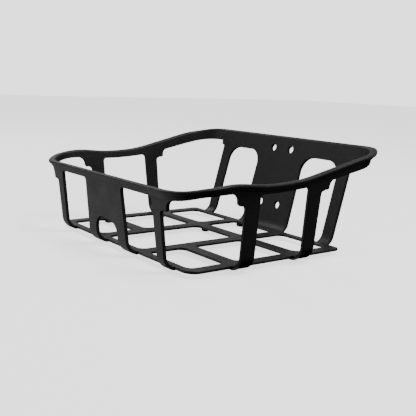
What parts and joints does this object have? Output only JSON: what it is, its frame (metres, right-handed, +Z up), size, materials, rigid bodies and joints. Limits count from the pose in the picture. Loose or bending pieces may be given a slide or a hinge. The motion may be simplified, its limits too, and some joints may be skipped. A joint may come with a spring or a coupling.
{
  "type": "open cargo basket",
  "caption": "Open low-fronted, high-backed cargo basket of flat strips on a cut floor plate, with a lipped rim and bolt holes in its back.",
  "frame": {"origin": "middle of the bounding box at the level of the pads' undersides", "axes": "+X to the right across the basket, +Y towards its high back, +Z up"},
  "size_m": [0.3628, 0.2966, 0.129],
  "materials": {
    "powder_coat": "satin black powder coat with a fine texture",
    "rubber": "matte black"
  },
  "bodies": {
    "root": {"floor_plate": "powder_coat", "rim": "powder_coat", "front_panel": "powder_coat", "back_panel": "powder_coat", "front_post_right": "powder_coat", "front_post_left": "powder_coat", "side_post_front_right": "powder_coat", "side_post_front_left": "powder_coat", "side_post_back_right": "powder_coat", "side_post_back_left": "powder_coat", "back_leg_right": "powder_coat", "back_leg_left": "powder_coat", "foot_pad_front_side_left": "rubber", "foot_pad_front_side_right": "rubber", "foot_pad_back_side_left": "rubber", "foot_pad_back_side_right": "rubber", "foot_pad_middle_left": "rubber", "foot_pad_middle_right": "rubber", "foot_pad_back_left": "rubber", "foot_pad_back_right": "rubber"}
  },
  "joints": []
}
